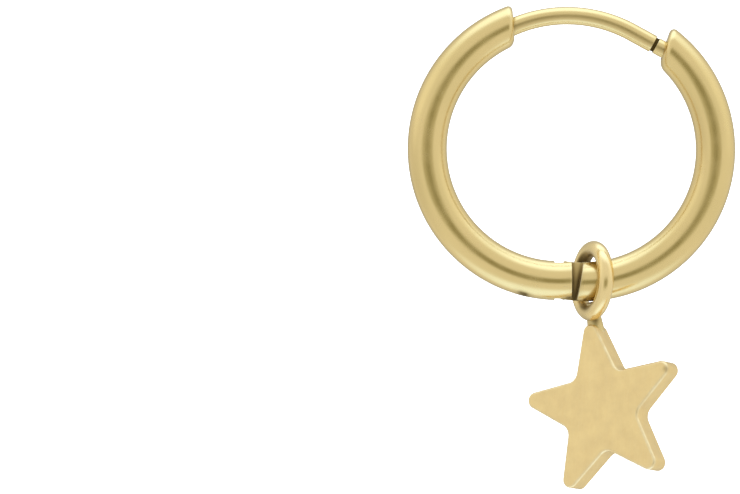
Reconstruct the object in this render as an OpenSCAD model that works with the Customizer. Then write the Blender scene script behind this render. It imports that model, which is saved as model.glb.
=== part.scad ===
// Hinged hoop earring with a star charm.
// The hoop is a round rod bent to a circle and sawn in two halves.
// The front half carries the ear wire at the top and the hinge pin at the bottom.
// The back half swings on that pin, and its top end has a socket for the tip of the wire.
// The charm is one soldered piece, a bail ring and a star plate, hung round the back half.
// Origin: middle of the ear wire at its crest, where the ear lobe carries it.
// X runs from the front half to the back half, Y away from the viewer, Z up.

/* [Hoop] */
// Diameter of the hoop's rod
tube_d = 2.0; // [1.6:0.05:2.4]
// Bend radius of the rod, to its middle
bend_r = 6.65; // [6:0.05:7.5]
// Top end of the front half, left of the hoop's centre
front_end_x = 2.25; // [2.1:0.01:2.5]
// Top end of the back half, right of the hoop's centre when shut
back_end_x = 3.15; // [3:0.01:3.5]
// Lean of the front half's top end face, outwards at the top
front_end_lean = 3.5; // [0:0.5:6]
// Lean of the back half's top end face, outwards at the top
back_end_lean = 7.5; // [3:0.5:10]

/* [Hinge] */
// Hinge face of the front half, right of the hoop's centre
front_face_x = 0.6; // [0.55:0.01:0.65]
// Hinge face of the back half, right of the hoop's centre when shut
back_face_x = 0.93; // [0.9:0.01:1]
// Pin axis, right of the hoop's centre
pin_x = 0.3; // [0.25:0.01:0.35]
// Pin axis, below the hoop's centre
pin_drop = 7.13; // [7.1:0.01:7.15]
// Diameter of the hinge pin
pin_d = 0.45; // [0.4:0.01:0.5]
// Thickness of the tongue on the back half
tongue_t = 0.7; // [0.5:0.05:0.8]
// Radius of the tongue's round end
tongue_r = 0.5; // [0.45:0.01:0.5]
// Left side of the tongue above the pin, right of the hoop's centre when shut
tongue_x = 0; // [-0.1:0.01:0.2]
// Angle that the hinge stands open while the tip of the wire rests in its socket
ajar = 9.9; // [9.5:0.1:10.5]

/* [Ear wire] */
// Diameter of the ear wire
wire_d = 0.9; // [0.8:0.01:1]
// Bend radius of the ear wire, to its middle
wire_bend_r = 6.82; // [6.7:0.01:6.95]
// Crest of the wire, right of the hoop's centre
crest_x = 0.39; // [0.3:0.01:0.5]
// Crest of the wire, above the hoop's centre
crest_z = 6.7; // [6.65:0.01:6.75]
// Slope of the straight tip below the horizontal
tip_slope = 28.7; // [27:0.1:30]
// Length of the straight tip
tip_len = 2.42; // [2.3:0.01:2.5]
// Length of the wire inside the front half
root_len = 1.2; // [0.8:0.1:1.5]
// Start of the latch groove, from the start of the straight tip
groove_at = 1.22; // [1.15:0.01:1.3]
// Width of the latch groove
groove_w = 0.17; // [0.1:0.01:0.25]
// Depth of the latch groove
groove_depth = 0.08; // [0.05:0.01:0.15]
// Diameter of the tip beyond the groove
nose_d = 0.84; // [0.78:0.01:0.88]
// Radius on the end of the nose
nose_round = 0.18; // [0.1:0.01:0.19]
// Diameter of the socket that takes the tip
socket_d = 1.0; // [0.96:0.01:1.1]
// Depth of the socket beyond the end of the tip
socket_spare = 0.4; // [0.2:0.05:0.6]

/* [Bail ring] */
// Outer diameter of the ring
ring_d = 4.05; // [4:0.01:4.1]
// Diameter of the ring's wire
ring_wire_d = 0.79; // [0.7:0.01:0.8]
// Where the ring hangs, in degrees along the back half from straight below its centre
ring_place = 3.7; // [3.5:0.1:4.5]
// Turn of the ring about the vertical, near side to the right
ring_turn = 21.5; // [15:0.5:24]
// Lean of the ring's top to the right
ring_lean = 3.6; // [0:0.1:4.5]
// How far the ring's centre is above the middle of the rod
ring_up = 0.03; // [0:0.01:0.1]

/* [Star] */
// Distance from the star's middle to its sharp points
star_r = 5.2; // [5:0.01:5.4]
// Distance from the star's middle to its sharp notches
star_notch_r = 2.09; // [1.9:0.01:2.3]
// Radius on the points
point_round = 0.42; // [0.3:0.01:0.5]
// Radius in the notches
notch_round = 0.57; // [0.3:0.01:0.7]
// Thickness of the star
star_t = 1.15; // [1:0.05:1.3]
// Middle of the star's front face, from the origin
star_at = [1.59, -1.16, -19.74];
// Turn about the vertical, front face to the left
star_turn = 34.7; // [30:0.1:38]
// Tilt of the front face upwards
star_tilt = 9; // [5:0.5:11]
// Lean of the top point to the left
star_lean = 8.2; // [7:0.1:10]
// Diameter of the soldered neck between ring and star
neck_d = 0.75; // [0.6:0.01:0.8]
// How far the neck starts below the star's top point
neck_root = 0.6; // [0.4:0.1:1]

/* [Hidden] */
$fn = 96;
gold = "#d8b45c";
pale_gold = "#e3cd96";
// Radial gap of pieces that are fixed in each other
fixed_gap = 0.01;
// Gap round the wire in its bore
bore_gap = 0.02;
// Radial gap of the pin in the tongue
running_gap = 0.03;
// Gap between the tongue and each side of its slot
slot_gap = 0.05;
// How far the pin's ends and the tongue stay below the surface of the rod
below_surface = 0.03;
// How far a cutting solid passes the surface that it cuts
past = 0.5;
// Straight steps in each rounded corner of the star
arc_steps = 10;

// Centre of the hoop, and the axis of the hinge pin
hoop_at = [-crest_x, 0, -crest_z];
pin_at = [pin_x, 0, -pin_drop];
// Centre of the back half's bend as the hinge stands, and the centre of the ring
back_at = hoop_at + pin_at + about_y(-pin_at, ajar);
ring_at = back_at + bend_r * [sin(ring_place), 0, -cos(ring_place)] + [0, 0, ring_up];

// A point turned about the X, Y or Z axis through the origin, as rotate() turns it
function about_x(p, a) = [p[0], p[1] * cos(a) - p[2] * sin(a), p[1] * sin(a) + p[2] * cos(a)];
function about_y(p, a) = [p[0] * cos(a) + p[2] * sin(a), p[1], p[2] * cos(a) - p[0] * sin(a)];
function about_z(p, a) = [p[0] * cos(a) - p[1] * sin(a), p[0] * sin(a) + p[1] * cos(a), p[2]];
// Angle on the hoop, counted from +X towards +Z, of the lower or upper point at a given x
function lower_angle(x) = 270 + asin(x / bend_r);
function upper_angle(x) = 90 - asin(x / bend_r);
// A point of the star plate turned as the plate hangs
function star_turned(p) = about_x(about_z(about_y(p, -star_lean), -star_turn), -star_tilt);
// Corner i of a sharp star with its first point up, in the plane of the plate
function corner(i) = (i % 2 == 0 ? star_r : star_notch_r) * [-sin(36 * i), cos(36 * i)];
function unit(v) = v / norm(v);
// Unit vectors along the two edges that leave corner i
function edge_before(i) = unit(corner(i + 9) - corner(i));
function edge_after(i) = unit(corner(i + 1) - corner(i));
// Half the angle between those edges, the tangent length and the centre of a rounding there
function half_angle(i) = acos(edge_before(i) * edge_after(i)) / 2;
function tangent_len(i, r) = r / tan(half_angle(i));
function round_at(i, r) = corner(i) + unit(edge_before(i) + edge_after(i)) * r / sin(half_angle(i));

// Stands a drawing from the XY plane upright in the XZ plane
module upright() {
    rotate([90, 0, 0]) children();
}

// Round rod bent about the origin, from one angle on the hoop to another
module bent_rod(r, d, from, to) {
    upright() rotate([0, 0, from]) rotate_extrude(angle = to - from) translate([r, 0]) circle(d = d);
}

// Everything to the right of an upright plane through x, leaned outwards at height z
module beyond(x, z, lean) {
    size = 2 * tube_d;
    translate([x, 0, z]) rotate([0, lean, 0]) translate([0, -size / 2, -size / 2]) cube(size);
}

// Places a half that is drawn shut, round the hoop's centre, as the hinge stands
module swung(angle) {
    translate(hoop_at + pin_at) rotate([0, angle, 0]) translate(-pin_at) children();
}

// Solid of the ear wire, drawn round its own crest and grown by a gap
module wire_arc(gap) {
    root_angle = asin((front_end_x - crest_x) / wire_bend_r);
    from = 90 + root_angle + (root_len + gap) / wire_bend_r * 180 / PI;
    translate([0, 0, -wire_bend_r]) bent_rod(wire_bend_r, wire_d + 2 * gap, 90 - tip_slope, from);
}

// Places a solid that is drawn along +X at the start of the wire's straight tip
module at_tip() {
    translate([0, 0, -wire_bend_r]) rotate([0, tip_slope, 0]) translate([0, 0, wire_bend_r]) children();
}

// Cylinder along +X
module rod_x(d, from, to) {
    translate([from, 0, 0]) rotate([0, 90, 0]) cylinder(d = d, h = to - from);
}

// Cylinder from one point to another
module rod_between(a, b, d) {
    v = b - a;
    translate(a) rotate([0, acos(v[2] / norm(v)), atan2(v[1], v[0])]) cylinder(d = d, h = norm(v));
}

// Front half: the top end, the bore for the wire, and the forked end with its pin hole
module front_half() {
    top = upper_angle(-front_end_x);
    slot_end = pin_x - tongue_r - slot_gap;
    slot_w = tongue_t + 2 * slot_gap;
    color(gold) difference() {
        translate(hoop_at) difference() {
            bent_rod(bend_r, tube_d, top - 12, lower_angle(front_face_x));
            beyond(-front_end_x, bend_r * sin(top), -front_end_lean);
            translate([slot_end, -slot_w / 2, -bend_r - tube_d])
                cube([front_face_x - slot_end + past, slot_w, 2 * tube_d]);
            translate(pin_at) rotate([90, 0, 0])
                cylinder(d = pin_d + 2 * fixed_gap, h = tube_d + 2 * past, center = true);
        }
        wire_arc(bore_gap);
    }
}

// Half outline of the straight tip, along +Y from its start: rod, latch groove and nose
module tip_profile() {
    wire_r = wire_d / 2;
    nose_r = nose_d / 2;
    square([wire_r, groove_at]);
    square([wire_r - groove_depth, groove_at + groove_w]);
    square([nose_r - nose_round, tip_len]);
    translate([0, groove_at + groove_w]) square([nose_r, tip_len - groove_at - groove_w - nose_round]);
    translate([nose_r - nose_round, tip_len - nose_round]) circle(r = nose_round);
}

// Ear wire: a bent rod, then a straight tip with a latch groove and a rounded nose
module ear_wire() {
    color(gold) union() {
        wire_arc(0);
        at_tip() rotate([0, 90, 0]) rotate_extrude() tip_profile();
    }
}

// Outline of the tongue, drawn round the hoop's centre: a band as high as the rod and a round end
module tongue_outline() {
    reach = tube_d / 2 - below_surface;
    intersection() {
        difference() {
            circle(r = bend_r + reach);
            circle(r = bend_r - reach);
        }
        union() {
            translate([tongue_x, -pin_drop]) square([back_face_x - tongue_x + past, 2 * tube_d]);
            translate([pin_x, -bend_r - tube_d]) square([back_face_x - pin_x + past, tube_d]);
        }
    }
    translate([pin_x, -pin_drop]) circle(r = tongue_r);
}

// Back half: the rod with its top socket, and the tongue on the hinge pin
module back_half() {
    top = upper_angle(back_end_x);
    color(gold) difference() {
        swung(ajar) difference() {
            union() {
                difference() {
                    bent_rod(bend_r, tube_d, lower_angle(back_face_x) - 360, top + 12);
                    mirror([1, 0, 0]) beyond(-back_end_x, bend_r * sin(top), -back_end_lean);
                }
                rotate([90, 0, 0]) linear_extrude(tongue_t, center = true) tongue_outline();
            }
            translate(pin_at) rotate([90, 0, 0])
                cylinder(d = pin_d + 2 * running_gap, h = tube_d + 2 * past, center = true);
        }
        at_tip() rod_x(socket_d, groove_at, tip_len + socket_spare);
    }
}

// Hinge pin, its ends filed to the surface of the rod
module hinge_pin() {
    color(gold) translate(hoop_at) intersection() {
        translate(pin_at) rotate([90, 0, 0]) cylinder(d = pin_d, h = tube_d, center = true);
        bent_rod(bend_r, tube_d - 2 * below_surface, 255, 285);
    }
}

// Points of the arc that rounds corner i with radius r
function rounded(i, r) =
    let (
        middle = round_at(i, r),
        start = corner(i) + edge_before(i) * tangent_len(i, r) - middle,
        end = corner(i) + edge_after(i) * tangent_len(i, r) - middle,
        from = atan2(start[1], start[0]),
        sweep = (atan2(end[1], end[0]) - from + 540) % 360 - 180
    )
    [for (k = [0:arc_steps]) middle + r * [cos(from + sweep * k / arc_steps), sin(from + sweep * k / arc_steps)]];

// Outline of the star with rounded points and notches
module star_outline() {
    polygon([for (i = [0:9]) each rounded(i, i % 2 == 0 ? point_round : notch_round)]);
}

// Star charm: the bail ring, the soldered neck and the star plate in one piece
module star_charm() {
    ring_r = (ring_d - ring_wire_d) / 2;
    point_z = star_r - point_round / sin(half_angle(0)) + point_round;
    neck_from = [0, star_t / 2, point_z - neck_root];
    neck_to = ring_at - ring_r * [sin(ring_lean), 0, cos(ring_lean)];
    color(pale_gold) union() {
        translate(ring_at) rotate([0, ring_lean, 0]) rotate([0, 0, ring_turn]) rotate([0, 90, 0])
            rotate_extrude() translate([ring_r, 0]) circle(d = ring_wire_d);
        translate(star_at) rotate([-star_tilt, 0, 0]) rotate([0, 0, -star_turn]) rotate([0, -star_lean, 0])
            rotate([90, 0, 0]) translate([0, 0, -star_t]) linear_extrude(star_t) star_outline();
        rod_between(star_at + star_turned(neck_from), neck_to, neck_d);
    }
}

front_half();
ear_wire();
back_half();
hinge_pin();
star_charm();
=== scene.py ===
"""Looks of a hinged hoop earring with a star charm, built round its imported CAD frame.

Sizes are in millimetres, in the CAD's frame: X is the photo's right, Y points away from the viewer
and Z up, from the crest of the ear wire. MM turns them into Blender's metres."""

import math

import bmesh
import bpy
import numpy as np
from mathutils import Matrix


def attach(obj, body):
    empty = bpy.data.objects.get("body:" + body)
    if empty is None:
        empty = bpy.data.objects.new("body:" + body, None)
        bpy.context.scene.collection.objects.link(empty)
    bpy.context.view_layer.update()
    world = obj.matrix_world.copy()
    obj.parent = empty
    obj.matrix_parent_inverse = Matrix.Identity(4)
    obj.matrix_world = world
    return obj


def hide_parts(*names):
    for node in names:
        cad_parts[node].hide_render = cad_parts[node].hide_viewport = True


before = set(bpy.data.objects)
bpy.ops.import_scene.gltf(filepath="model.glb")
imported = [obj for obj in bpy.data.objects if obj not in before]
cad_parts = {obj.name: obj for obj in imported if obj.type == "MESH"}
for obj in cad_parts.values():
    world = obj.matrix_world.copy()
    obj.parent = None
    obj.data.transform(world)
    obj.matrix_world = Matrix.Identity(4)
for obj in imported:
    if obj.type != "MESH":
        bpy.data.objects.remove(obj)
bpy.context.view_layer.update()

MM = 0.001

# The hoop, its middle at HOOP_AT; PIN_AT is from there. Its rod is 4 microns thinner than the
# CAD's, so that it stays inside the CAD's facets.
BEND_R, TUBE_R = 6.65, 0.996
HOOP_AT = np.array([-0.39, 0.0, -6.7])
PIN_AT = np.array([0.3, 0.0, -7.13])
AJAR = math.radians(9.9)
FRONT_TOP_X, BACK_TOP_X = -2.31, 3.15
FRONT_END_LEAN, BACK_END_LEAN = math.radians(3.5), math.radians(7.5)
FRONT_RIM, BACK_RIM, HINGE_RIM = 0.3, 0.34, 0.06

# The ear wire
WIRE_R, WIRE_BEND_R = 0.45, 6.82
TIP_SLOPE = math.radians(28.7)
TIP_LEN, ROOT_LEN = 2.42, 1.2

# Steps along the rod and the wire and round the rod's rims, then across its bored and plain end
# faces and over its prongs
ROD_STEPS, WIRE_STEPS, RIM_STEPS, HINGE_RIM_STEPS = 84, 60, 10, 3
FACE_STEPS, HEEL_STEPS, PRONG_STEPS, PRONG_FACE_STEPS = 4, 6, 7, 6

# Edges sharper than this are rounded where a piece asks for it
ROUND_ABOVE = math.radians(40)
# Bend, in radians a millimetre, where the plating starts to wear and where it is worn most
WEAR_FROM, WEAR_FULL = 3.0, 9.0


# Placing --------------------------------------------------------------------

def about_x(points, angle):
    """Points turned about the X axis."""
    c, s = math.cos(angle), math.sin(angle)
    p = np.asarray(points, float)
    return np.stack([p[..., 0], p[..., 1] * c - p[..., 2] * s, p[..., 1] * s + p[..., 2] * c], -1)


def about_y(points, angle):
    """Points turned about the Y axis, the way the hinge opens."""
    c, s = math.cos(angle), math.sin(angle)
    p = np.asarray(points, float)
    return np.stack([p[..., 0] * c + p[..., 2] * s, p[..., 1], p[..., 2] * c - p[..., 0] * s], -1)


def about_z(points, angle):
    """Points turned about the Z axis."""
    c, s = math.cos(angle), math.sin(angle)
    p = np.asarray(points, float)
    return np.stack([p[..., 0] * c - p[..., 1] * s, p[..., 0] * s + p[..., 1] * c, p[..., 2]], -1)


def swung(points):
    """From the shut hoop's own frame to where the ajar back half stands."""
    return about_y(np.asarray(points) - PIN_AT, AJAR) + PIN_AT + HOOP_AT


def unswung(points):
    """From where the ajar back half stands to the shut hoop's own frame."""
    return about_y(np.asarray(points) - PIN_AT - HOOP_AT, -AJAR) + PIN_AT


# Mesh helpers ---------------------------------------------------------------

def weld(name, patches, bevel=0.0, segments=2, where=None, sharp=50):
    """One mesh object from grids of points, welded where they meet.

    Sharp edges that where() accepts get a small round edge, bevel wide. Edges above sharp
    degrees are shaded sharp."""
    bm = bmesh.new()
    for patch in patches:
        rows = [[bm.verts.new(p * MM) for p in row] for row in np.asarray(patch, float)]
        for low, high in zip(rows, rows[1:]):
            for i in range(len(low) - 1):
                bm.faces.new((low[i], low[i + 1], high[i + 1], high[i]))
    # In metres
    merge_within, drop_below = 2e-7, 1e-8
    bmesh.ops.remove_doubles(bm, verts=bm.verts, dist=merge_within)
    bmesh.ops.dissolve_degenerate(bm, dist=drop_below, edges=bm.edges)
    bmesh.ops.recalc_face_normals(bm, faces=bm.faces)
    if bevel:
        bm.normal_update()
        edges = [
            e for e in bm.edges
            if len(e.link_faces) == 2 and e.calc_face_angle() > ROUND_ABOVE
            and (where is None or where((e.verts[0].co + e.verts[1].co) / 2 / MM))
        ]
        round_edges(bm, edges, bevel, segments)
        bmesh.ops.recalc_face_normals(bm, faces=bm.faces)
    return finish_mesh(name, bm, sharp)


def round_edges(bm, edges, width, segments):
    """Rounds edges; the rounding reaches width to either side."""
    bmesh.ops.bevel(bm, geom=edges, offset=width * MM, offset_type="OFFSET", segments=segments,
                    profile=0.5, affect="EDGES", clamp_overlap=True)


def mark_wear(bm):
    """Stores how worn each vertex is: 1 on tight outer edges, 0 on the plain rod."""
    bm.normal_update()
    layer = bm.verts.layers.float.new("wear")
    # Faces whose middles lie closer than this say nothing about the bend
    too_close = 1e-4
    for vert in bm.verts:
        bend = 0.0
        for edge in vert.link_edges:
            if len(edge.link_faces) == 2:
                a, b = (face.calc_center_median() for face in edge.link_faces)
                apart = (a - b).length / MM
                if apart > too_close:
                    bend = max(bend, edge.calc_face_angle_signed(0.0) / apart)
        vert[layer] = min(1.0, max(0.0, (bend - WEAR_FROM) / (WEAR_FULL - WEAR_FROM)))


def finish_mesh(name, bm, sharp):
    """The finished object: worn, smooth but for its sharp edges, and with no painted shade yet."""
    mark_wear(bm)
    mesh = bpy.data.meshes.new(name)
    bm.to_mesh(mesh)
    bm.free()
    mesh.attributes.new("painted_shade", "FLOAT", "POINT")
    mesh.shade_smooth()
    mesh.set_sharp_from_angle(angle=math.radians(sharp))
    obj = bpy.data.objects.new(name, mesh)
    bpy.context.scene.collection.objects.link(obj)
    weighted = obj.modifiers.new("weighted normals", "WEIGHTED_NORMAL")
    weighted.keep_sharp = True
    weighted.weight = 80
    return obj


def paint_shade(obj, amount_of):
    """Stores the painted shade and shadow of each vertex, from 0 to 1, by its place."""
    places = np.empty(len(obj.data.vertices) * 3)
    obj.data.vertices.foreach_get("co", places)
    amount = np.clip(amount_of(places.reshape(-1, 3) / MM), 0, 1)
    obj.data.attributes["painted_shade"].data.foreach_set("value", amount.astype(np.float32))
    return obj


def near_line(distance, width):
    """1 at distance 0, falling off softly with the distance."""
    return np.exp(-(np.asarray(distance) / width) ** 2)


def whole_turn(steps):
    """Angles round a whole turn, both ends included."""
    return np.linspace(0, 2 * math.pi, steps + 1)


def closed(points):
    """A ring's points with the first one again at the end."""
    return np.concatenate([points, points[:1]])


def between(row_a, row_b, steps):
    """Rows between two rings, both left out."""
    return [row_a + (row_b - row_a) * t for t in np.linspace(0, 1, steps + 1)[1:-1]]


def centre_of(ring):
    """The ring drawn together to its middle."""
    return np.broadcast_to(ring.mean(0), ring.shape)


# Round rod ------------------------------------------------------------------

# Sections of the rod: angle 0 points away from the bend's centre, 90 degrees away from the viewer.
# The marks lie where the hinge slot's walls meet the surface, so that slot and rod share points.
SLOT_HALF = 0.4
SLOT_MARK = math.asin(SLOT_HALF / TUBE_R)
NARROW, WIDE = 12, 36
SECTION = np.concatenate([
    np.linspace(-SLOT_MARK, SLOT_MARK, NARROW + 1)[:-1],
    np.linspace(SLOT_MARK, math.pi - SLOT_MARK, WIDE + 1)[:-1],
    np.linspace(math.pi - SLOT_MARK, math.pi + SLOT_MARK, NARROW + 1)[:-1],
    np.linspace(math.pi + SLOT_MARK, 2 * math.pi - SLOT_MARK, WIDE + 1),
])
# Centre of the ear wire's bend, in the CAD's frame and in the shut hoop's
WIRE_CENTRE = (0, -WIRE_BEND_R)
WIRE_CENTRE_IN_HOOP = (-HOOP_AT[0], -HOOP_AT[2] - WIRE_BEND_R)


def section(radius):
    """Points round the rod: how far outside its centre line, and how far behind it."""
    return radius * np.cos(SECTION), radius * np.sin(SECTION)


def on_arc(u, v, theta, bend_r=BEND_R, centre=(0.0, 0.0)):
    """Points u outside and v behind a bend's centre line, at the angles theta."""
    r = bend_r + u
    return np.stack([centre[0] + r * np.cos(theta), v, centre[1] + r * np.sin(theta)], -1)


def plane_angle(u, plane, near, bend_r=BEND_R, centre=(0.0, 0.0)):
    """Where the lines along a bend, u outside its centre line, meet an upright plane.

    A plane is the angle of its normal, which points out of the metal, and its distance.
    Of the two meetings, the one closer to the angle near is given."""
    alpha, dist = plane
    to_plane = dist - centre[0] * math.cos(alpha) - centre[1] * math.sin(alpha)
    turn = np.arccos(to_plane / (bend_r + u))
    pick = []
    for theta in (alpha + turn, alpha - turn):
        pick.append((theta - near + math.pi) % (2 * math.pi) - math.pi + near)
    return np.where(abs(pick[0] - near) < abs(pick[1] - near), pick[0], pick[1])


def plane_through(x, z, alpha):
    """The upright plane through a point, with its normal at the angle alpha."""
    return alpha, x * math.cos(alpha) + z * math.sin(alpha)


def pulled_back(plane, length):
    """The plane moved into the metal."""
    return plane[0], plane[1] - length


def rim(plane, near, radius, steps):
    """Rows of a rounded rim, from the rod's surface to its end plane."""
    rows = []
    for t in np.linspace(0, math.pi / 2, steps + 1):
        u, v = section(TUBE_R - radius * (1 - math.cos(t)))
        moved = pulled_back(plane, radius * (1 - math.sin(t)))
        rows.append(on_arc(u, v, plane_angle(u, moved, near)))
    return rows


def body(plane_a, near_a, plane_b, near_b, steps):
    """Rows of the plain rod from one plane to another; each is met near an angle of its own."""
    u, v = section(TUBE_R)
    a = plane_angle(u, plane_a, near_a)
    b = plane_angle(u, plane_b, near_b)
    return [on_arc(u, v, a + (b - a) * t) for t in np.linspace(0, 1, steps + 1)]


# Where the halves' top ends are along the bend, and all end planes, in the shut hoop's frame
FRONT_TOP_ANGLE = math.pi / 2 - math.asin(FRONT_TOP_X / BEND_R)
BACK_TOP_ANGLE = math.pi / 2 - math.asin(BACK_TOP_X / BEND_R)
FRONT_TOP = plane_through(FRONT_TOP_X, BEND_R * math.sin(FRONT_TOP_ANGLE), FRONT_END_LEAN)
BACK_TOP = plane_through(BACK_TOP_X, BEND_R * math.sin(BACK_TOP_ANGLE), math.pi - BACK_END_LEAN)
FRONT_HINGE = (0.0, 0.6)
SLOT_FLOOR = (0.0, -0.25)
BACK_HINGE = (math.pi, -0.93)
# The angle of the bend's lowest place, close to the hinge
BELOW = 1.5 * math.pi

# The hinge gap, from its lit top to its dark bottom
GAP_TOP_Z, GAP_HEIGHT = -12.5, 0.9


def low_in_gap(z):
    """0 at the top of the hinge gap, which light reaches, 1 at its bottom."""
    return np.clip((GAP_TOP_Z - z) / GAP_HEIGHT, 0, 1)


def mouth_shadow(off_axis):
    """How dark the mouth of the bore or the socket is, this far from the wire's axis."""
    dark_to, softness = 0.5, 0.1
    return near_line(np.maximum(off_axis - dark_to, 0), softness)


# Front half of the hoop -----------------------------------------------------

# Heights that tell its ends and its underside from the rest
TOP_END_ABOVE, HINGE_END_BELOW, UNDERSIDE_BELOW = -3, -10, -12
# Patches of painted shade on the underside: where along X, how wide and how dark
UNDERSIDE_SHADE_PATCHES = ((-2.2, 0.3, 1.0), (0.1, 0.25, 0.8))


def fork():
    """The slot's floor and the two prongs beside it."""
    # Floor of the slot: columns across, rows from the outer to the inner side of the bend
    across = np.linspace(-SLOT_MARK, SLOT_MARK, NARROW + 1)
    half_turn = np.linspace(0, math.pi, WIDE + 1)
    u = (TUBE_R * np.cos(across))[None, :] * np.cos(half_turn)[:, None]
    v = np.broadcast_to(TUBE_R * np.sin(across), u.shape)
    patches = [on_arc(u, v, plane_angle(u, SLOT_FLOOR, BELOW))]

    arc = np.linspace(SLOT_MARK, math.pi - SLOT_MARK, WIDE + 1)
    inner_u = TUBE_R * math.cos(SLOT_MARK) * np.cos(half_turn)
    for side in (-1, 1):
        outer_u, outer_v = TUBE_R * np.cos(arc), side * TUBE_R * np.sin(arc)
        inner_v = np.full(WIDE + 1, side * SLOT_HALF)
        for u, v in ((outer_u, outer_v), (inner_u, inner_v)):
            a = plane_angle(u, SLOT_FLOOR, BELOW)
            b = plane_angle(u, FRONT_HINGE, BELOW)
            steps = np.linspace(0, 1, PRONG_STEPS + 1)
            patches.append([on_arc(u, v, a + (b - a) * t) for t in steps])
        end_face = []
        for t in np.linspace(0, 1, PRONG_FACE_STEPS + 1):
            u = inner_u + (outer_u - inner_u) * t
            v = inner_v + (outer_v - inner_v) * t
            end_face.append(on_arc(u, v, plane_angle(u, FRONT_HINGE, BELOW)))
        patches.append(end_face)
    return patches


def front_half():
    """The bent rod: the bored top end with a rounded rim, and the fork for the hinge."""
    near = FRONT_TOP_ANGLE
    bore_r, mouth_r, mouth_depth = 0.475, 0.52, 0.05

    def bore(radius, plane):
        u, v = section(radius)
        theta = plane_angle(u, plane, near, WIRE_BEND_R, WIRE_CENTRE_IN_HOOP)
        return on_arc(u, v, theta, WIRE_BEND_R, WIRE_CENTRE_IN_HOOP), theta

    mouth, _ = bore(mouth_r, FRONT_TOP)
    wall, theta = bore(bore_r, pulled_back(FRONT_TOP, mouth_depth))
    u, v = section(bore_r)
    bottom = on_arc(u, v, theta + ROOT_LEN / WIRE_BEND_R, WIRE_BEND_R, WIRE_CENTRE_IN_HOOP)
    rounded = rim(FRONT_TOP, near, FRONT_RIM, RIM_STEPS)
    rows = [centre_of(bottom), bottom, *between(bottom, wall, FACE_STEPS), wall, mouth]
    rows += [*between(mouth, rounded[-1], FACE_STEPS), *rounded[::-1][:-1]]
    rows += body(pulled_back(FRONT_TOP, FRONT_RIM), near, SLOT_FLOOR, BELOW, ROD_STEPS)

    patches = [np.asarray(p) + HOOP_AT for p in (rows, *fork())]
    obj = weld("hoop_front", patches, HINGE_RIM, HINGE_RIM_STEPS, lambda p: p.z < HINGE_END_BELOW)

    def shade(p):
        x, z = p[:, 0], p[:, 2]
        q = p - HOOP_AT
        off = np.hypot(q[:, 0], q[:, 2]) - BEND_R
        # Painted shade in the hinge slot, darker towards the bottom of the gap
        slack = 0.01
        in_slot = (abs(q[:, 1]) < SLOT_HALF + slack) & (q[:, 0] > SLOT_FLOOR[1] - slack)
        in_slot &= (q[:, 2] < 0) & (np.hypot(off, q[:, 1]) < TUBE_R - 2 * slack)
        slot = np.where(in_slot, 0.15 + 0.35 * low_in_gap(z), 0)

        # The painted underside shade keeps to the outer side of the bend, with soft edges
        outer_side = np.clip(2.6 * near_line(off - TUBE_R, 0.16), 0, 1)
        underside_shade = sum(dark * near_line(x - at, width) for at, width, dark in UNDERSIDE_SHADE_PATCHES)
        underside_shade = (z < UNDERSIDE_BELOW) * underside_shade * outer_side

        from_wire = np.hypot(np.hypot(x, z + WIRE_BEND_R) - WIRE_BEND_R, p[:, 1])
        at_bore = (z > TOP_END_ABOVE) * mouth_shadow(from_wire)
        return slot + underside_shade + 0.4 * at_bore

    return paint_shade(obj, shade)


# Back half of the hoop ------------------------------------------------------

TIP_START = WIRE_BEND_R * np.array([math.sin(TIP_SLOPE), 0, math.cos(TIP_SLOPE) - 1])
TIP_ALONG = np.array([math.cos(TIP_SLOPE), 0, -math.sin(TIP_SLOPE)])
TIP_OUT = np.array([math.sin(TIP_SLOPE), 0, math.cos(TIP_SLOPE)])
TOWARDS_BACK = np.array([0.0, 1.0, 0.0])


def tip_ring(radius, along):
    """A ring round the straight tip's axis; along may differ from point to point."""
    u, v = section(radius)
    out = u[:, None] * TIP_OUT + v[:, None] * TOWARDS_BACK
    return TIP_START + out + np.broadcast_to(along, SECTION.shape)[:, None] * TIP_ALONG


def tip_place(points):
    """How far points are along the straight tip, and how far from its axis."""
    rel = points - TIP_START
    along = rel @ TIP_ALONG
    return along, np.linalg.norm(rel - along[:, None] * TIP_ALONG, axis=1)


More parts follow.
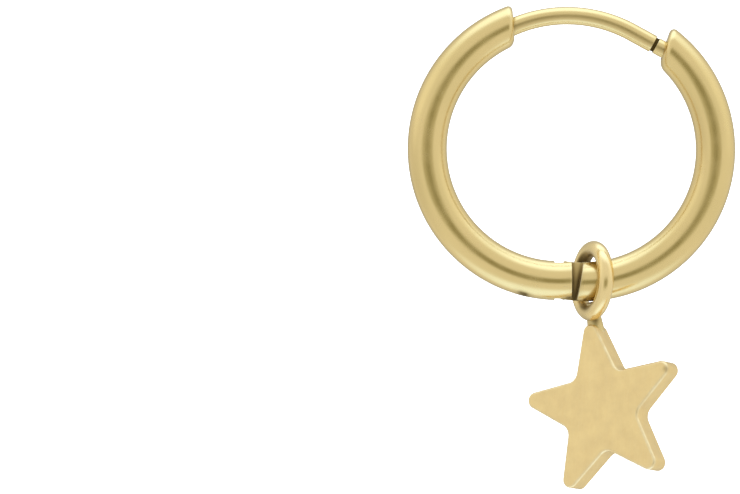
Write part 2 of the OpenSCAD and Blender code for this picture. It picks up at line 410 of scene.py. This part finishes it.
def back_half():
    """The bent rod: a plain hinge end, and the top end with its socket."""
    socket_r, mouth_r, mouth_depth, spare = 0.49, 0.53, 0.05, 0.4
    # A turn less, so that the rod runs from its hinge end up the right side to its top end
    low = BELOW - 2 * math.pi
    foot = rim(BACK_HINGE, low, HINGE_RIM, HINGE_RIM_STEPS)
    heel = centre_of(foot[-1])
    rows = [heel, *between(heel, foot[-1], HEEL_STEPS), *foot[::-1][:-1]]
    rows += body(pulled_back(BACK_HINGE, HINGE_RIM), low,
                 pulled_back(BACK_TOP, BACK_RIM), BACK_TOP_ANGLE, ROD_STEPS)
    rows += rim(BACK_TOP, BACK_TOP_ANGLE, BACK_RIM, RIM_STEPS)[1:]
    rows = [swung(r) for r in rows]

    lean = np.array([-math.cos(BACK_END_LEAN), 0, math.sin(BACK_END_LEAN)])
    normal = about_y(lean, AJAR)
    on_face = swung(np.array([BACK_TOP_X, 0, BEND_R * math.sin(BACK_TOP_ANGLE)]))

    def socket(radius, sunk):
        """The socket's ring on the end face, or sunk below it."""
        to_face = on_face - normal * sunk - tip_ring(radius, 0.0)
        return tip_ring(radius, (to_face @ normal) / (TIP_ALONG @ normal))

    mouth, wall = socket(mouth_r, 0.0), socket(socket_r, mouth_depth)
    deep = tip_ring(socket_r, TIP_LEN + spare)
    rows += [*between(rows[-1], mouth, FACE_STEPS), mouth, wall]
    rows += [*between(wall, deep, FACE_STEPS), deep, centre_of(deep)]
    obj = weld("hoop_back", [rows])

    def shade(p):
        along, off_axis = tip_place(p)
        at_mouth = (abs(along - TIP_LEN) < 0.6) * mouth_shadow(off_axis)
        q = unswung(p)
        # Painted shade on the hinge end face, darker towards the bottom of the gap
        hinge_face = (q[:, 2] < 0) * near_line(q[:, 0] + BACK_HINGE[1], 0.05)
        return 0.8 * at_mouth + hinge_face * (0.25 + 0.3 * low_in_gap(p[:, 2]))

    return paint_shade(obj, shade)


def tongue():
    """The back half's hinge tongue, with its round end and the hole for the pin."""
    inset, end_r, hole_r, half_thick, edge_r = 0.03, 0.5, 0.255, 0.35, 0.03
    reach = TUBE_R - inset
    top_r, low_r = BEND_R - reach, BEND_R + reach
    left_x, heel_x, far_x = 0.0, 0.36, 1.25
    top_count, end_count, low_count, spacing = 14, 29, 10, 0.09
    across, through = np.linspace(0, 1, 25), np.linspace(-half_thick, half_thick, 5)

    def arc_points(r, from_x, to_x, count):
        x = np.linspace(from_x, to_x, count)
        return np.stack([x, -np.sqrt(r * r - x * x)], -1)

    middle = PIN_AT[[0, 2]]
    corner = math.pi / 2 + math.asin((middle[0] - left_x) / end_r)
    end = [middle + end_r * np.array([math.cos(a), math.sin(a)])
           for a in np.linspace(corner, BELOW, end_count)]
    outline = np.concatenate([
        arc_points(top_r, far_x, left_x, top_count), end,
        arc_points(low_r, heel_x, far_x, low_count),
    ])
    # The straight sides between those points get points of their own
    dense = []
    for a, b in zip(outline, np.roll(outline, -1, 0)):
        count = max(1, int(round(np.linalg.norm(b - a) / spacing)))
        dense += [a + (b - a) * t for t in np.linspace(0, 1, count + 1)[:-1]]
    outline = closed(np.array(dense))
    away = outline - middle
    hole = middle + hole_r * away / np.linalg.norm(away, axis=1)[:, None]

    def flat(points, y):
        return np.stack([points[:, 0], np.full(len(points), y), points[:, 1]], -1)

    patches = []
    for y in (-half_thick, half_thick):
        patches.append([flat(hole + (outline - hole) * t, y) for t in across])
    for ring in (outline, hole):
        patches.append([flat(ring, y) for y in through])
    obj = weld("hinge_tongue", [swung(np.asarray(p)) for p in patches], edge_r, 2)

    def shade(p):
        # Painted shade: dark beside both halves' end faces, lighter between them, darker to the
        # bottom
        from_front = p[:, 0] - (FRONT_HINGE[1] + HOOP_AT[0])
        from_back = -BACK_HINGE[1] - unswung(p)[:, 0]
        beside = 0.35 * near_line(from_front - 0.08, 0.09) + 0.4 * near_line(from_back - 0.06, 0.09)
        return 0.04 + 0.35 * low_in_gap(p[:, 2]) + beside

    return paint_shade(obj, shade)


def pin():
    """The hinge pin, its ends filed to the rod's round surface."""
    turns = whole_turn(48)
    proud = 0.004
    # Rings of each end, by radius and depth: flat, with a broken edge
    end = ((0.0, 0.0), (0.08, 0.0), (0.15, 0.0), (0.2, 0.0), (0.218, 0.002), (0.225, 0.012))
    rows = []
    for side in (-1, 1):
        face = []
        for radius, sunk in end:
            x = PIN_AT[0] + radius * np.cos(turns)
            z = PIN_AT[2] + radius * np.sin(turns)
            off = np.hypot(x, z) - BEND_R
            y = side * (np.sqrt(TUBE_R ** 2 - off ** 2) + proud - sunk)
            face.append(np.stack([x, y, z], -1) + HOOP_AT)
        rows += face if side < 0 else face[::-1]
    return weld("hinge_pin_end", [rows], sharp=60)


# Ear wire -------------------------------------------------------------------

NOSE_R, NOSE_ROUND = 0.42, 0.18
GROOVE_AT, GROOVE_W, GROOVE_R = 1.22, 0.17, 0.37
GROOVE_EDGE = 0.025


def tip_profile():
    """The straight tip, as pairs of length along it and radius: groove, then rounded nose."""
    left, right = GROOVE_AT, GROOVE_AT + GROOVE_W
    floor = 0.02

    def quarter(count, radius):
        """Steps of a round edge: how far it still has to go along, and how far it is in."""
        return [(radius * (1 - math.sin(a)), radius * (1 - math.cos(a)))
                for a in np.linspace(0, math.pi / 2, count)]

    profile = [(0.25, WIRE_R), (0.6, WIRE_R), (0.95, WIRE_R)]
    profile += [(left - ahead, WIRE_R - inward) for ahead, inward in quarter(4, GROOVE_EDGE)]
    profile += [(left + 0.002, GROOVE_R + floor), (left + floor, GROOVE_R)]
    profile += [(right - floor, GROOVE_R), (right, GROOVE_R + floor)]
    profile += [(right + inward, NOSE_R - ahead) for ahead, inward in quarter(4, GROOVE_EDGE)]
    profile += [(1.8, NOSE_R), (2.05, NOSE_R)]
    profile += [(TIP_LEN - ahead, NOSE_R - inward) for ahead, inward in quarter(7, NOSE_ROUND)]
    return profile + [(TIP_LEN + 0.01, 0.12), (TIP_LEN + 0.012, 0.0)]


def ear_wire():
    """The bent wire, then the straight tip with its latch groove and rounded nose."""
    from_x = FRONT_TOP_X + HOOP_AT[0]
    root_gap = 0.05
    root = math.pi / 2 + math.asin(-from_x / WIRE_BEND_R) + (ROOT_LEN - root_gap) / WIRE_BEND_R
    start = math.pi / 2 - TIP_SLOPE

    def bent(radius, theta):
        u, v = section(radius)
        return on_arc(u, v, np.full(len(SECTION), theta), WIRE_BEND_R, WIRE_CENTRE)

    rows = [bent(0.0, root)]
    rows += [bent(WIRE_R, theta) for theta in np.linspace(root, start, WIRE_STEPS + 1)]
    rows += [tip_ring(radius, along) for along, radius in tip_profile()]
    obj = weld("ear_wire_round", [rows], sharp=60)

    def shade(p):
        along, off_axis = tip_place(p)
        # Painted shade fills the latch groove
        slack = 0.012
        groove = (along > GROOVE_AT - slack) & (along < GROOVE_AT + GROOVE_W + slack)
        groove &= off_axis < WIRE_R - 0.004
        above_bend = np.hypot(p[:, 0], p[:, 2] + WIRE_BEND_R) - WIRE_BEND_R
        up = np.where(along > 0, (p - TIP_START) @ TIP_OUT, above_bend)
        # A painted dark reflection along both flanks, and painted shadow at the root
        flank = near_line(up + 0.08, 0.15)
        at_root = (p[:, 0] < 0) * near_line(np.maximum(p[:, 0] - from_x, 0), 0.1)
        return groove + 0.28 * flank + 0.15 * at_root

    return paint_shade(obj, shade)


# Charm ----------------------------------------------------------------------

RING_R, RING_WIRE_R = 1.63, 0.395
RING_PLACE, RING_TURN, RING_LEAN = (math.radians(a) for a in (3.7, 21.5, 3.6))
RING_UP = 0.03
RING_AT = (swung(np.zeros(3)) + np.array([0, 0, RING_UP])
           + BEND_R * np.array([math.sin(RING_PLACE), 0, -math.cos(RING_PLACE)]))

STAR_POINTS = 5
STAR_R, NOTCH_R = 5.2, 2.09
POINT_ROUND, NOTCH_ROUND = 0.42, 0.57
STAR_T, STAR_EDGE_R = 1.15, 0.13
POINT_STEPS, NOTCH_STEPS, STAR_EDGE_STEPS = 14, 8, 6
STAR_AT = np.array([1.59, -1.16, -19.74])
STAR_TURN, STAR_TILT, STAR_LEAN = (math.radians(a) for a in (34.7, 9, 8.2))
# A small brown spot near the right-hand point, in the star's own frame
SPOT_AT = np.array([4.05, 0.0, 1.15])

# How far the solder reaches up from the middle of the ring's wire, and how far it sits to the right
FILLET = 0.53
NECK_SHIFT = np.array([0.05, 0, 0])


def ring_placed(points):
    """From the ring's own frame, its axis along X, to where the ring hangs."""
    return RING_AT + about_y(about_z(points, RING_TURN), RING_LEAN)


def hung(points):
    """From the star's own upright frame to where the plate hangs."""
    return STAR_AT + about_x(about_z(about_y(points, -STAR_LEAN), -STAR_TURN), -STAR_TILT)


def bail_ring():
    """The bail: a closed ring of round wire."""
    around = whole_turn(160)
    rows = []
    for t in whole_turn(48):
        r = RING_R + RING_WIRE_R * math.cos(t)
        side = np.full(around.shape, RING_WIRE_R * math.sin(t))
        rows.append(ring_placed(np.stack([side, r * np.cos(around), r * np.sin(around)], -1)))
    joint = ring_placed(np.array([0, 0, -RING_R - RING_WIRE_R]))
    corner_x, corner_z = 0.87, -14.69

    def shade(p):
        # Painted shade on the inner side, which little light reaches; the inner side also rubs on
        # the rod
        own = about_z(about_y(p - RING_AT, -RING_LEAN), -RING_TURN)
        inward = (RING_R - np.hypot(own[:, 1], own[:, 2])) / RING_WIRE_R
        far = np.clip(own[:, 1], 0, 1)
        inner = np.clip((inward - 0.15) / 0.4, 0, 1)
        inner = inner * np.where(own[:, 2] > 0, 0.4 + 0.5 * far, 0.3 - 0.25 * far)
        # Painted shade in the corner beside the solder, and where the neck meets the ring
        corner = near_line(np.hypot(p[:, 0] - corner_x, p[:, 2] - corner_z), 0.2)
        at_joint = near_line(np.linalg.norm(p - joint, axis=1), 0.32)
        return inner + 0.5 * corner + 0.7 * at_joint

    return paint_shade(weld("bail_ring", [rows]), shade)


def star_outline():
    """The star's outline with rounded points and notches, as (x, z)."""
    corners = []
    for i in range(2 * STAR_POINTS):
        r = NOTCH_R if i % 2 else STAR_R
        a = math.radians(180 / STAR_POINTS * i)
        corners.append(np.array([-r * math.sin(a), r * math.cos(a)]))
    outline = []
    for i, corner in enumerate(corners):
        before = corners[i - 1] - corner
        after = corners[(i + 1) % len(corners)] - corner
        before, after = before / np.linalg.norm(before), after / np.linalg.norm(after)
        half = math.acos(np.dot(before, after)) / 2
        radius = NOTCH_ROUND if i % 2 else POINT_ROUND
        middle = before + after
        middle = corner + middle / np.linalg.norm(middle) * radius / math.sin(half)
        a = corner + before * radius / math.tan(half) - middle
        b = corner + after * radius / math.tan(half) - middle
        start = math.atan2(a[1], a[0])
        sweep = (math.atan2(b[1], b[0]) - start + math.pi) % (2 * math.pi) - math.pi
        steps = NOTCH_STEPS if i % 2 else POINT_STEPS
        for k in range(steps + 1):
            angle = start + sweep * k / steps
            outline.append(middle + radius * np.array([math.cos(angle), math.sin(angle)]))
    return np.array(outline)


def star_plate():
    """The thick star, cut from plate, with softly rounded edges."""
    bm = bmesh.new()
    outline = star_outline()
    rings = []
    for y in (0, STAR_T * 0.5, STAR_T):
        flat = np.stack([outline[:, 0], np.full(len(outline), y), outline[:, 1]], -1)
        rings.append([bm.verts.new(p * MM) for p in hung(flat)])
    count = len(outline)
    for low, high in zip(rings, rings[1:]):
        for i in range(count):
            j = (i + 1) % count
            bm.faces.new((low[i], low[j], high[j], high[i]))
    bm.faces.new(rings[0])
    bm.faces.new(rings[-1])
    bmesh.ops.recalc_face_normals(bm, faces=bm.faces)
    bm.normal_update()
    edges = [e for e in bm.edges if any(len(f.verts) > 4 for f in e.link_faces)]
    round_edges(bm, edges, STAR_EDGE_R, STAR_EDGE_STEPS)
    tip = hung(np.array([0, STAR_T / 2, outline[:, 1].max()]))

    def shade(p):
        # Painted shade where the solder meets the top point
        return near_line(np.linalg.norm(p - tip, axis=1), 0.25)

    return paint_shade(finish_mesh("star_plate", bm, sharp=60), shade)


def solder_neck():
    """The short soldered joint, flared into the star's top point and narrowed inside the ring."""
    sunk, neck_r, in_ring_from = 0.35, 0.37, 0.7
    top_z = star_outline()[:, 1].max()
    low = hung(np.array([0, STAR_T / 2, top_z - sunk])) + NECK_SHIFT
    high = ring_placed(np.array([0, 0, FILLET - RING_R])) + NECK_SHIFT
    length = np.linalg.norm(high - low)
    along = (high - low) / length
    side = np.cross(along, TOWARDS_BACK)
    side = side / np.linalg.norm(side)
    other = np.cross(along, side)
    turns = whole_turn(40)
    round_it = np.cos(turns)[:, None] * side + np.sin(turns)[:, None] * other
    rows = [np.broadcast_to(low, round_it.shape)]
    for t in np.linspace(0, 1, 13):
        radius = neck_r + 0.15 * max(0, 0.5 - t) - 0.4 * max(0, t - in_ring_from)
        rows.append(low + along * length * t + radius * round_it)
    rows.append(np.broadcast_to(high, round_it.shape))
    crevice_x, crevice_z = 1.42, -15.33

    def shade(p):
        # Painted shade in the crevice under the ring and inside the ring, with a little all over
        crevice = near_line(np.hypot(p[:, 0] - crevice_x, p[:, 2] - crevice_z), 0.21)
        inside = np.clip(((p - low) @ along / length - in_ring_from) / 0.1, 0, 1)
        return 0.1 + 0.7 * crevice + 0.3 * inside

    return paint_shade(weld("solder_neck", [rows]), shade)


# Shader nodes ---------------------------------------------------------------

def feed(tree, socket, value):
    """Gives a socket a constant, or links another node's output to it."""
    if isinstance(value, bpy.types.NodeSocket):
        tree.links.new(value, socket)
    else:
        socket.default_value = value


def add_node(tree, kind, inputs, **settings):
    """A new node, with its settings and then its inputs, by name or number."""
    node = tree.nodes.new(kind)
    for name, value in settings.items():
        setattr(node, name, value)
    for key, value in inputs.items():
        feed(tree, node.inputs[key], value)
    return node


def noise(tree, source, scale, detail, rough=0.5, stretch=(1, 1, 1), turn=(0, 0, 0)):
    """A noise texture over turned and stretched coordinates; scale is in cells a metre."""
    mapping = add_node(tree, "ShaderNodeMapping",
                       {"Vector": source, "Rotation": turn, "Scale": stretch})
    texture = add_node(tree, "ShaderNodeTexNoise", {
        "Vector": mapping.outputs["Vector"], "Scale": scale, "Detail": detail, "Roughness": rough,
    })
    return texture.outputs["Fac"]


# Noise keeps mostly between these two values
NOISE_LOW, NOISE_HIGH = 0.3, 0.7


def ramp(tree, fac, low, high):
    """From one colour to another as a noise goes from low to high."""
    node = add_node(tree, "ShaderNodeValToRGB", {"Fac": fac})
    for element, at, color in zip(node.color_ramp.elements, (NOISE_LOW, NOISE_HIGH), (low, high)):
        element.position = at
        element.color = (*color, 1)
    return node.outputs["Color"]


def remap(tree, fac, low, high, lo_at=NOISE_LOW, hi_at=NOISE_HIGH):
    """From one number to another as a value goes from lo_at to hi_at."""
    return add_node(tree, "ShaderNodeMapRange", {
        "Value": fac, "From Min": lo_at, "From Max": hi_at, "To Min": low, "To Max": high,
    }).outputs["Result"]


def blend(tree, factor, a, b):
    """Colour a, or colour b where the factor is 1; each is a colour or a socket."""
    a, b = ((*value, 1) if isinstance(value, tuple) else value for value in (a, b))
    mix = add_node(tree, "ShaderNodeMix", {"Factor": factor, "A": a, "B": b}, data_type="RGBA")
    return mix.outputs["Result"]


def combine(tree, operation, a, b):
    """Maths on two numbers, kept between 0 and 1; each is a constant or a socket."""
    node = add_node(tree, "ShaderNodeMath", {0: a, 1: b}, operation=operation, use_clamp=True)
    return node.outputs["Value"]


def bump(tree, height, distance, strength, before=None):
    """A normal bent by a height, over the normal from before; distance is in metres."""
    inputs = {"Strength": strength, "Distance": distance, "Height": height}
    if before is not None:
        inputs["Normal"] = before
    return add_node(tree, "ShaderNodeBump", inputs).outputs["Normal"]


def attribute(tree, name):
    """A value stored on the vertices."""
    return add_node(tree, "ShaderNodeAttribute", {}, attribute_name=name).outputs["Fac"]


# Materials ------------------------------------------------------------------

# Each plating's two base colours, which its cloudiness wavers between; the charm's is paler
HOOP_GOLD = (0.77, 0.60, 0.268), (0.83, 0.64, 0.292)
BAIL_GOLD = (0.865, 0.675, 0.32), (0.935, 0.73, 0.36)
STAR_GOLD = (0.84, 0.638, 0.309), (0.93, 0.717, 0.344)
WORN = (0.90, 0.79, 0.52)
# The brown that painted shade and the star's brown spot darken towards
SHADE_BROWN = (0.12, 0.077, 0.02)

# Roughness, from the smoothest place to the roughest
POLISHED = 0.19, 0.29
SAWN = 0.45, 0.55
BRUSHED = 0.36, 0.5


def new_metal(name):
    """A metal material, its node tree, its shader and its object coordinates."""
    mat = bpy.data.materials.new(name)
    mat.use_nodes = True
    tree = mat.node_tree
    tree.nodes.clear()
    shader = add_node(tree, "ShaderNodeBsdfPrincipled", {"Metallic": 1.0})
    add_node(tree, "ShaderNodeOutputMaterial", {"Surface": shader.outputs["BSDF"]})
    coord = add_node(tree, "ShaderNodeTexCoord", {}).outputs["Object"]
    return mat, tree, shader, coord


def worn_and_shaded(tree, coord, shader, color, rough, spot=None):
    """Gives the shader a clean colour and roughness, with worn edges, painted shade and a spot
    added.
    """
    patchy = remap(tree, noise(tree, coord, 2600, 4, 0.6), 0.15, 0.75)
    wear = combine(tree, "MULTIPLY", attribute(tree, "wear"), patchy)
    # Painted shade from the vertices, with the star's brown spot added to it
    painted_shade = attribute(tree, "painted_shade")
    if spot is not None:
        painted_shade = combine(tree, "ADD", painted_shade, spot)
    color = blend(tree, wear, color, WORN)
    feed(tree, shader.inputs["Base Color"], blend(tree, painted_shade, color, SHADE_BROWN))
    # Worn edges are smoother, painted shade is rougher
    rough = combine(tree, "SUBTRACT", rough, combine(tree, "MULTIPLY", wear, 0.06))
    rough = combine(tree, "ADD", rough, combine(tree, "MULTIPLY", painted_shade, 0.5))
    feed(tree, shader.inputs["Roughness"], rough)


def polished_gold(name, golds, roughness):
    """Plating of the rod and wires: faint cloudiness, small dents and hairline scratches."""
    mat, tree, shader, coord = new_metal(name)
    color = ramp(tree, noise(tree, coord, 260, 4), *golds)
    smudge = noise(tree, coord, 900, 5, 0.6)
    worn_and_shaded(tree, coord, shader, color, remap(tree, smudge, *roughness))
    dents = noise(tree, coord, 700, 2)
    hairs = noise(tree, coord, 5000, 3, 0.6, (1, 0.15, 0.4), (0.4, 0.2, 0.7))
    dented = bump(tree, dents, 0.02 * MM, 0.12)
    feed(tree, shader.inputs["Normal"], bump(tree, hairs, 0.004 * MM, 0.15, dented))
    return mat


def satin_gold():
    """Brushed plating of the star: fine upright lines, faint mottling and one brown spot."""
    mat, tree, shader, coord = new_metal("satin_gold")
    color = ramp(tree, noise(tree, coord, 1300, 4, 0.6), *STAR_GOLD)
    lines = noise(tree, coord, 9000, 3, 0.6, (1, 1, 0.06), (0, STAR_LEAN, 0))
    from_spot = add_node(tree, "ShaderNodeVectorMath", {0: coord, 1: hung(SPOT_AT) * MM},
                         operation="DISTANCE").outputs["Value"]
    spot = remap(tree, from_spot, 0.3, 0.0, 0.05 * MM, 0.22 * MM)
    worn_and_shaded(tree, coord, shader, color, remap(tree, lines, *BRUSHED), spot)
    feed(tree, shader.inputs["Normal"], bump(tree, lines, 0.006 * MM, 0.35))
    return mat


# Assembly -------------------------------------------------------------------

polished = polished_gold("polished_gold", HOOP_GOLD, POLISHED)
sawn = polished_gold("sawn_gold", HOOP_GOLD, SAWN)
pale = polished_gold("pale_gold", BAIL_GOLD, POLISHED)
satin = satin_gold()


def place(obj, node, body_name, mat):
    """Puts a piece in a CAD node's place, on a moving body and with a material."""
    obj.data.materials.append(mat)
    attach(obj, body_name)
    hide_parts(node)


place(front_half(), "front_half", "front", polished)
place(ear_wire(), "ear_wire", "front", polished)
place(pin(), "hinge_pin", "front", polished)
place(back_half(), "back_half", "back", polished)
place(tongue(), "back_half", "back", sawn)
place(bail_ring(), "star_charm", "charm", pale)
place(solder_neck(), "star_charm", "charm", polished)
place(star_plate(), "star_charm", "charm", satin)


# Studio ---------------------------------------------------------------------

def backdrop():
    """A pale floor that curves up into a wall behind the hanging earring, in metres.

    Only the camera sees it: the light tent alone lights the metal."""
    floor_z, wall_y, curve_r, top_z, wide, near_y = -0.05, 0.5, 0.2, 0.7, 1.2, -0.9
    pale_grey, white = (0.9, 0.9, 0.9, 1), (1, 1, 1, 1)
    profile = [(near_y, floor_z), (wall_y - curve_r, floor_z)]
    for a in np.linspace(0, math.pi / 2, 16)[1:]:
        y, z = wall_y - curve_r + curve_r * math.sin(a), floor_z + curve_r * (1 - math.cos(a))
        profile.append((y, z))
    profile.append((wall_y, top_z))
    verts = [(x, y, z) for y, z in profile for x in (-wide, wide)]
    faces = [(2 * i, 2 * i + 1, 2 * i + 3, 2 * i + 2) for i in range(len(profile) - 1)]
    mesh = bpy.data.meshes.new("backdrop")
    mesh.from_pydata(verts, [], faces)
    mesh.shade_smooth()
    obj = bpy.data.objects.new("backdrop", mesh)
    bpy.context.scene.collection.objects.link(obj)
    mat = bpy.data.materials.new("backdrop")
    mat.use_nodes = True
    shader = mat.node_tree.nodes["Principled BSDF"]
    shader.inputs["Base Color"].default_value = pale_grey
    shader.inputs["Roughness"].default_value = 1.0
    shader.inputs["Specular IOR Level"].default_value = 0.0
    shader.inputs["Emission Color"].default_value = white
    shader.inputs["Emission Strength"].default_value = 1.0
    mesh.materials.append(mat)
    obj.visible_glossy = False
    obj.visible_shadow = False
    obj.visible_diffuse = False


def towards(azimuth, elevation):
    """A direction from the object; azimuth 0 is the camera's side, 90 the right of the photo."""
    a, e = math.radians(azimuth), math.radians(elevation)
    return math.sin(a) * math.cos(e), -math.cos(a) * math.cos(e), math.sin(e)


# Colours of the light tent; MID is where no zone reaches
MID = (0.85, 0.855, 0.84)
LEFT = (0.76, 0.755, 0.74)
BRIGHT = (1.48, 1.73, 2.14)
LOW_BRIGHT = (1.16, 1.38, 1.72)
FAIR_LOW = (1.05, 1.18, 1.36)
FAIR = (1.2, 1.36, 1.58)
SIDE = (1.0, 1.02, 1.01)
DIM = (0.55, 0.55, 0.52)
DUSK = (0.48, 0.47, 0.35)
DARK = (0.31, 0.30, 0.18)
# Azimuth and elevation, inner and outer angle, colour. Later zones lie over earlier ones.
ZONES = [
    ((180, 0), 25, 65, DIM),
    ((-90, 0), 10, 45, LEFT),
    ((-82, 30), 8, 34, SIDE),
    ((82, 30), 8, 36, SIDE),
    ((-90, 65), 5, 30, FAIR),
    ((88, 62), 5, 34, FAIR),
    ((180, 88), 12, 42, BRIGHT),
    ((-90, -66), 5, 26, FAIR_LOW),
    ((90, -66), 5, 26, FAIR_LOW),
    ((0, -84), 8, 37, LOW_BRIGHT),
    ((-19, -3), 5, 18, DUSK),
    ((19, -3), 5, 18, DUSK),
    ((0, -3), 6, 19, DARK),
]


def studio_world():
    """A soft light tent: bright above and below, dimmer behind, with the dark camera in front.

    The camera itself sees plain white."""
    world = bpy.data.worlds.new("studio")
    bpy.context.scene.world = world
    world.use_nodes = True
    tree = world.node_tree
    tree.nodes.clear()
    way = add_node(tree, "ShaderNodeTexCoord", {}).outputs["Generated"]

    def zone(direction, inner, outer):
        """1 within inner degrees of a direction, 0 beyond outer degrees."""
        dot = add_node(tree, "ShaderNodeVectorMath", {0: way, 1: direction},
                       operation="DOT_PRODUCT").outputs["Value"]
        return add_node(tree, "ShaderNodeMapRange", {
            "Value": dot,
            "From Min": math.cos(math.radians(outer)),
            "From Max": math.cos(math.radians(inner)),
        }, interpolation_type="SMOOTHSTEP").outputs["Result"]

    color = add_node(tree, "ShaderNodeRGB", {}).outputs["Color"]
    color.default_value = (*MID, 1)
    for direction, inner, outer, shade in ZONES:
        color = blend(tree, zone(towards(*direction), inner, outer), color, shade)
    seen = add_node(tree, "ShaderNodeLightPath", {}).outputs["Is Camera Ray"]
    color = blend(tree, seen, color, (1, 1, 1))
    sky = add_node(tree, "ShaderNodeBackground", {"Color": color})
    add_node(tree, "ShaderNodeOutputWorld", {"Surface": sky.outputs["Background"]})


backdrop()
studio_world()


# Camera ---------------------------------------------------------------------

# The photo's size and where it shows the ear wire's crest, in pixels
PHOTO_W, PHOTO_H = 740, 494
CREST_X, CREST_Y = 566.9, 15.7
MM_PER_PX = 0.0504
LENS, SENSOR = 200, 36

distance = PHOTO_W * MM_PER_PX * LENS / SENSOR
camera_data = bpy.data.cameras.new("camera")
camera_data.lens = LENS
camera_data.sensor_width = SENSOR
camera_data.clip_start, camera_data.clip_end = 0.01, 10
camera = bpy.data.objects.new("camera", camera_data)
camera.location = (
    (PHOTO_W / 2 - CREST_X) * MM_PER_PX * MM,
    -distance * MM,
    (CREST_Y - PHOTO_H / 2) * MM_PER_PX * MM,
)
camera.rotation_euler = (math.pi / 2, 0, 0)
bpy.context.scene.collection.objects.link(camera)
bpy.context.scene.camera = camera

bpy.context.scene.view_settings.view_transform = "Standard"
bpy.context.scene.view_settings.look = "None"

bpy.context.view_layer.update()
